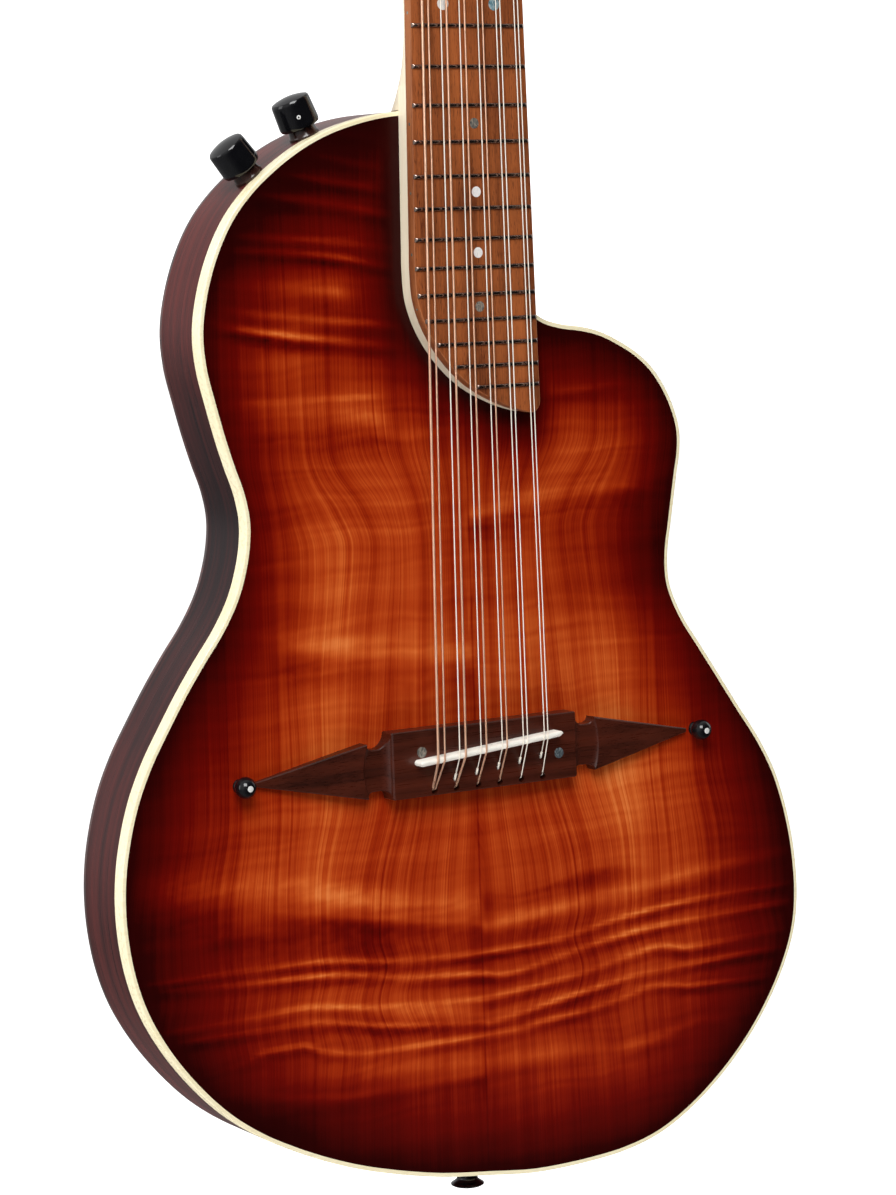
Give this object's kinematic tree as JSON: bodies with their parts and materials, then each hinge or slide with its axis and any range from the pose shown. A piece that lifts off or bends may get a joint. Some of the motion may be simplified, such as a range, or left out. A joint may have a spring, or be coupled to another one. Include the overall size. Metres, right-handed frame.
{
  "type": "twelve-string guitar",
  "caption": "Thin-bodied single-cutaway electro-acoustic guitar with paired strings, a long slanted fingerboard, winged bridge, two side knobs and an end-pin jack.",
  "frame": {"origin": "where the fret tops' plane meets the nut on the neck's centre line, which is where a hanger's yoke holds the neck under the headstock", "axes": "+Z along the strings towards the headstock, -Y out of the front, +X towards the treble side"},
  "size_m": [0.3683, 0.0686, 1.0707],
  "materials": {
    "top_wood": "gloss figured redwood, red sunburst to near-black edges",
    "binding_wood": "gloss cream maple",
    "side_wood": "gloss dark burgundy straight-grained rosewood",
    "back_wood": "gloss dark burgundy rosewood",
    "block_wood": "bare mahogany",
    "brace_wood": "bare spruce",
    "neck_wood": "satin pale maple",
    "fingerboard_wood": "oiled reddish-brown open-grained rosewood",
    "bridge_wood": "oiled dark rosewood",
    "bone": "polished bone",
    "pearl": "iridescent shell inlay",
    "pickup_film": "copper-braided piezo strip",
    "fret_metal": "polished nickel-silver wire",
    "string_metal": "bright bronze-wound and plain steel strings",
    "brass": "polished brass",
    "nickel": "nickel plate",
    "steel": "plain steel",
    "black_metal": "black chrome",
    "black_gloss": "gloss black",
    "black_plastic": "black plastic",
    "battery_case": "plain printed metal case",
    "circuit_board": "green circuit board"
  },
  "bodies": {
    "body": {"soundboard": "top_wood", "top_binding": "binding_wood", "bass_side": "side_wood", "treble_side": "side_wood", "back_plate": "back_wood", "neck_block": "block_wood", "tail_block": "block_wood", "bracing": "brace_wood", "neck": "neck_wood", "fingerboard": "fingerboard_wood", "nut": "bone", "saddle": "bone", "saddle_pickup": "pickup_film", "bridge": "bridge_wood", "bridge_pin_bass": "black_gloss", "bridge_pin_treble": "black_gloss", "truss_rod": "steel", "truss_rod_cover": "black_plastic", "tuner_strip_bass": "nickel", "tuner_strip_treble": "nickel", "volume_pot": "black_metal", "tone_pot": "black_metal", "end_pin_jack": "black_metal", "strap_button": "black_metal", "rear_cover": "black_plastic", "battery": "battery_case", "preamp_board": "circuit_board", "string_course_1": "string_metal", "string_course_2": "string_metal", "string_course_3": "string_metal", "string_course_4": "string_metal", "string_course_5": "string_metal", "string_course_6": "string_metal"},
    "volume_knob": {"volume_knob": "black_gloss"},
    "tone_knob": {"tone_knob": "black_gloss"},
    "truss_rod_nut": {"truss_rod_nut": "brass"},
    "tuner_button_bass_1": {"tuner_button_bass_1": "black_gloss"},
    "tuner_button_bass_2": {"tuner_button_bass_2": "black_gloss"},
    "tuner_button_bass_3": {"tuner_button_bass_3": "black_gloss"},
    "tuner_button_bass_4": {"tuner_button_bass_4": "black_gloss"},
    "tuner_button_bass_5": {"tuner_button_bass_5": "black_gloss"},
    "tuner_button_bass_6": {"tuner_button_bass_6": "black_gloss"},
    "tuner_button_treble_1": {"tuner_button_treble_1": "black_gloss"},
    "tuner_button_treble_2": {"tuner_button_treble_2": "black_gloss"},
    "tuner_button_treble_3": {"tuner_button_treble_3": "black_gloss"},
    "tuner_button_treble_4": {"tuner_button_treble_4": "black_gloss"},
    "tuner_button_treble_5": {"tuner_button_treble_5": "black_gloss"},
    "tuner_button_treble_6": {"tuner_button_treble_6": "black_gloss"},
    "post_bass_1": {"post_bass_1": "brass"},
    "post_bass_2": {"post_bass_2": "brass"},
    "post_bass_3": {"post_bass_3": "brass"},
    "post_bass_4": {"post_bass_4": "brass"},
    "post_bass_5": {"post_bass_5": "brass"},
    "post_bass_6": {"post_bass_6": "brass"},
    "post_treble_1": {"post_treble_1": "brass"},
    "post_treble_2": {"post_treble_2": "brass"},
    "post_treble_3": {"post_treble_3": "brass"},
    "post_treble_4": {"post_treble_4": "brass"},
    "post_treble_5": {"post_treble_5": "brass"},
    "post_treble_6": {"post_treble_6": "brass"}
  },
  "joints": [
    {"name": "volume_knob_turn", "type": "hinge", "parent": "body", "child": "volume_knob", "pos_m": [-0.1006, 0.027, -0.3885], "axis": [-0.6361, 0, 0.7716], "range_deg": [-150, 150]},
    {"name": "tone_knob_turn", "type": "hinge", "parent": "body", "child": "tone_knob", "pos_m": [-0.0722, 0.026, -0.3713], "axis": [-0.3987, 0, 0.9171], "range_deg": [-150, 150]},
    {"name": "truss_rod_nut_turn", "type": "hinge", "parent": "body", "child": "truss_rod_nut", "pos_m": [0, 0.0132, 0.0088], "axis": [0, 0, 1], "range_deg": [-180, 180]},
    {"name": "tuner_button_bass_1_turn", "type": "hinge", "parent": "body", "child": "tuner_button_bass_1", "pos_m": [-0.027, 0.02975, 0.02673], "axis": [-1, 0, 0], "continuous": true},
    {"name": "post_bass_1_turn", "type": "hinge", "parent": "body", "child": "post_bass_1", "pos_m": [-0.027, 0.0127, 0.03948], "axis": [0, -0.9848, 0.1736], "continuous": true},
    {"name": "tuner_button_bass_2_turn", "type": "hinge", "parent": "body", "child": "tuner_button_bass_2", "pos_m": [-0.027, 0.03444, 0.05332], "axis": [-1, 0, 0], "continuous": true},
    {"name": "post_bass_2_turn", "type": "hinge", "parent": "body", "child": "post_bass_2", "pos_m": [-0.027, 0.01739, 0.06607], "axis": [0, -0.9848, 0.1736], "continuous": true},
    {"name": "tuner_button_bass_3_turn", "type": "hinge", "parent": "body", "child": "tuner_button_bass_3", "pos_m": [-0.027, 0.03913, 0.07991], "axis": [-1, 0, 0], "continuous": true},
    {"name": "post_bass_3_turn", "type": "hinge", "parent": "body", "child": "post_bass_3", "pos_m": [-0.027, 0.02208, 0.09266], "axis": [0, -0.9848, 0.1736], "continuous": true},
    {"name": "tuner_button_bass_4_turn", "type": "hinge", "parent": "body", "child": "tuner_button_bass_4", "pos_m": [-0.027, 0.04381, 0.1065], "axis": [-1, 0, 0], "continuous": true},
    {"name": "post_bass_4_turn", "type": "hinge", "parent": "body", "child": "post_bass_4", "pos_m": [-0.027, 0.02677, 0.11925], "axis": [0, -0.9848, 0.1736], "continuous": true},
    {"name": "tuner_button_bass_5_turn", "type": "hinge", "parent": "body", "child": "tuner_button_bass_5", "pos_m": [-0.027, 0.0485, 0.13309], "axis": [-1, 0, 0], "continuous": true},
    {"name": "post_bass_5_turn", "type": "hinge", "parent": "body", "child": "post_bass_5", "pos_m": [-0.027, 0.03146, 0.14584], "axis": [0, -0.9848, 0.1736], "continuous": true},
    {"name": "tuner_button_bass_6_turn", "type": "hinge", "parent": "body", "child": "tuner_button_bass_6", "pos_m": [-0.027, 0.05319, 0.15968], "axis": [-1, 0, 0], "continuous": true},
    {"name": "post_bass_6_turn", "type": "hinge", "parent": "body", "child": "post_bass_6", "pos_m": [-0.027, 0.03615, 0.17243], "axis": [0, -0.9848, 0.1736], "continuous": true},
    {"name": "tuner_button_treble_1_turn", "type": "hinge", "parent": "body", "child": "tuner_button_treble_1", "pos_m": [0.027, 0.02975, 0.02673], "axis": [1, 0, 0], "continuous": true},
    {"name": "post_treble_1_turn", "type": "hinge", "parent": "body", "child": "post_treble_1", "pos_m": [0.027, 0.0127, 0.03948], "axis": [0, -0.9848, 0.1736], "continuous": true},
    {"name": "tuner_button_treble_2_turn", "type": "hinge", "parent": "body", "child": "tuner_button_treble_2", "pos_m": [0.027, 0.03444, 0.05332], "axis": [1, 0, 0], "continuous": true},
    {"name": "post_treble_2_turn", "type": "hinge", "parent": "body", "child": "post_treble_2", "pos_m": [0.027, 0.01739, 0.06607], "axis": [0, -0.9848, 0.1736], "continuous": true},
    {"name": "tuner_button_treble_3_turn", "type": "hinge", "parent": "body", "child": "tuner_button_treble_3", "pos_m": [0.027, 0.03913, 0.07991], "axis": [1, 0, 0], "continuous": true},
    {"name": "post_treble_3_turn", "type": "hinge", "parent": "body", "child": "post_treble_3", "pos_m": [0.027, 0.02208, 0.09266], "axis": [0, -0.9848, 0.1736], "continuous": true},
    {"name": "tuner_button_treble_4_turn", "type": "hinge", "parent": "body", "child": "tuner_button_treble_4", "pos_m": [0.027, 0.04381, 0.1065], "axis": [1, 0, 0], "continuous": true},
    {"name": "post_treble_4_turn", "type": "hinge", "parent": "body", "child": "post_treble_4", "pos_m": [0.027, 0.02677, 0.11925], "axis": [0, -0.9848, 0.1736], "continuous": true},
    {"name": "tuner_button_treble_5_turn", "type": "hinge", "parent": "body", "child": "tuner_button_treble_5", "pos_m": [0.027, 0.0485, 0.13309], "axis": [1, 0, 0], "continuous": true},
    {"name": "post_treble_5_turn", "type": "hinge", "parent": "body", "child": "post_treble_5", "pos_m": [0.027, 0.03146, 0.14584], "axis": [0, -0.9848, 0.1736], "continuous": true},
    {"name": "tuner_button_treble_6_turn", "type": "hinge", "parent": "body", "child": "tuner_button_treble_6", "pos_m": [0.027, 0.05319, 0.15968], "axis": [1, 0, 0], "continuous": true},
    {"name": "post_treble_6_turn", "type": "hinge", "parent": "body", "child": "post_treble_6", "pos_m": [0.027, 0.03615, 0.17243], "axis": [0, -0.9848, 0.1736], "continuous": true}
  ],
  "couplings": [
    {"joint": "post_bass_1_turn", "follows": "tuner_button_bass_1_turn", "ratio": 0.0625},
    {"joint": "post_bass_2_turn", "follows": "tuner_button_bass_2_turn", "ratio": 0.0625},
    {"joint": "post_bass_3_turn", "follows": "tuner_button_bass_3_turn", "ratio": 0.0625},
    {"joint": "post_bass_4_turn", "follows": "tuner_button_bass_4_turn", "ratio": 0.0625},
    {"joint": "post_bass_5_turn", "follows": "tuner_button_bass_5_turn", "ratio": 0.0625},
    {"joint": "post_bass_6_turn", "follows": "tuner_button_bass_6_turn", "ratio": 0.0625},
    {"joint": "post_treble_1_turn", "follows": "tuner_button_treble_1_turn", "ratio": -0.0625},
    {"joint": "post_treble_2_turn", "follows": "tuner_button_treble_2_turn", "ratio": -0.0625},
    {"joint": "post_treble_3_turn", "follows": "tuner_button_treble_3_turn", "ratio": -0.0625},
    {"joint": "post_treble_4_turn", "follows": "tuner_button_treble_4_turn", "ratio": -0.0625},
    {"joint": "post_treble_5_turn", "follows": "tuner_button_treble_5_turn", "ratio": -0.0625},
    {"joint": "post_treble_6_turn", "follows": "tuner_button_treble_6_turn", "ratio": -0.0625}
  ]
}
